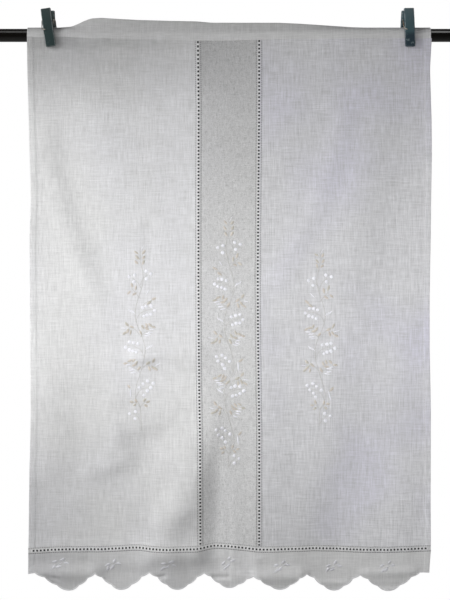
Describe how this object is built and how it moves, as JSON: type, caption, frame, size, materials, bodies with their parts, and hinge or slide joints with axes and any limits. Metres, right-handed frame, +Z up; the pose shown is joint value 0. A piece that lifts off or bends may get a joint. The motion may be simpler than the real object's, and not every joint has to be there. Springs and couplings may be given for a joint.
{
  "type": "rod pocket curtain on a curtain rod",
  "caption": "Short linen curtain with a closer centre strip, hemstitch trims, stitched vines and a scalloped border, hung by its rod pocket on a round rod and held by spring pegs.",
  "frame": {"origin": "on the rod's axis, at the middle of the curtain's width", "axes": "+Z up along the hanging cloth, +X along the rod to the right as seen from the front, the front of the cloth faces -Y"},
  "size_m": [0.6, 0.0369, 0.718],
  "materials": {
    "linen_white": "plain slub weave, matte",
    "linen_natural": "closer flecked weave, matte",
    "hemstitch_trim": "drawn-thread trim, matte",
    "rod_black": "gloss black",
    "peg_dark": "satin dark green-grey",
    "peg_slate": "satin slate",
    "spring_wire": "dull, a little rusted"
  },
  "bodies": {
    "root": {"curtain_rod": "rod_black", "casing": "linen_white", "left_panel": "linen_white", "left_ladder": "hemstitch_trim", "centre_panel": "linen_natural", "right_ladder": "hemstitch_trim", "right_panel": "linen_white", "bottom_ladder": "hemstitch_trim", "scallop_border": "linen_white", "left_peg_front_jaw": "peg_dark", "left_peg_back_jaw": "peg_dark", "left_peg_spring": "spring_wire", "right_peg_front_jaw": "peg_slate", "right_peg_back_jaw": "peg_slate", "right_peg_spring": "spring_wire"}
  },
  "joints": []
}
